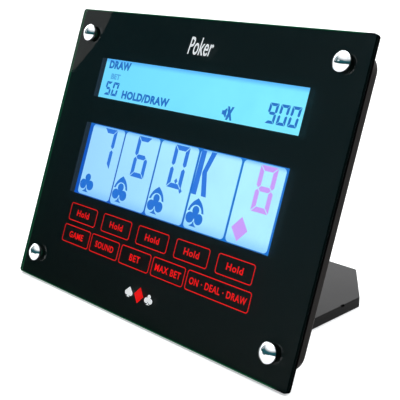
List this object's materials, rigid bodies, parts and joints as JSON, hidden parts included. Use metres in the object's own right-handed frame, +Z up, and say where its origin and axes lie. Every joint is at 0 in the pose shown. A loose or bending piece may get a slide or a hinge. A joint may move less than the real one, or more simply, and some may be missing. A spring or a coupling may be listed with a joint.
{
  "type": "table-top video poker game",
  "caption": "Table-top video poker game: a black glass plate with two backlit displays and printed touch keys, on a thin casing that leans back on a folding foot.",
  "frame": {"origin": "middle of the footprint on the table, with the foot open", "axes": "+X to the player's right, +Y away from the player, +Z up"},
  "size_m": [0.177, 0.1176, 0.1324],
  "materials": {
    "clear_glass": "polished, back-printed",
    "black_print": "screen print on the back of the glass",
    "adhesive": "double-sided tape",
    "clear_film": "conductor-coated film",
    "chrome": "polished",
    "black_nylon": "moulded",
    "black_casing": "moulded, semi-gloss",
    "white_plastic": "moulded",
    "status_display": "backlit liquid crystal",
    "card_display": "backlit liquid crystal",
    "light_guide": "clear acrylic",
    "board": "solder mask",
    "chip": "moulded epoxy",
    "zinc_steel": "zinc plated",
    "conductive_rubber": "layered",
    "led_body": "moulded",
    "battery_jacket": "shrink sleeve",
    "speaker_paper": "pressed cone in a steel basket",
    "foam": "closed-cell foam",
    "wire_sleeve": "flexible sleeve",
    "pad_rubber": "moulded"
  },
  "bodies": {
    "case": {"front_glass": "clear_glass", "printed_mask": "black_print", "tape_frame": "adhesive", "touch_sensor": "clear_film", "touch_tail": "clear_film", "cap_screws": "chrome", "cap_washers": "black_nylon", "front_case": "black_casing", "lcd_holder": "white_plastic", "status_lcd": "status_display", "card_lcd": "card_display", "status_light_guide": "light_guide", "card_light_guide": "light_guide", "diffuser_sheets": "white_plastic", "reflector_sheets": "white_plastic", "zebra_strips": "conductive_rubber", "backlight_leds": "led_body", "main_board": "board", "board_parts": "chip", "board_screws": "zinc_steel", "reset_switch": "chip", "rear_cover": "black_casing", "case_screws": "zinc_steel", "battery_cells": "battery_jacket", "battery_plates": "zinc_steel", "battery_springs": "zinc_steel", "speaker": "speaker_paper", "speaker_gasket": "foam", "speaker_leads": "wire_sleeve", "hinge_pins": "zinc_steel", "hinge_washers": "black_nylon"},
    "foot": {"foot_shell": "black_casing", "foot_cover": "black_casing", "foot_screws": "zinc_steel", "foot_pads": "pad_rubber"},
    "battery_hatch": {"battery_door": "black_casing"},
    "reset_pin": {"reset_button": "black_nylon"}
  },
  "joints": [
    {"name": "foot_hinge", "type": "hinge", "parent": "case", "child": "foot", "pos_m": [0, -0.02793, 0.0031], "axis": [1, 0, 0], "range_deg": [0, 70]},
    {"name": "hatch_slide", "type": "slide", "parent": "case", "child": "battery_hatch", "axis": [-1, 0, 0], "range_m": [0, 0.01]},
    {"name": "reset_press", "type": "slide", "parent": "case", "child": "reset_pin", "axis": [0, -0.9397, 0.342], "range_m": [0, 0.0006], "stiffness_N_per_m": 1500, "springref_m": -0.0003}
  ]
}
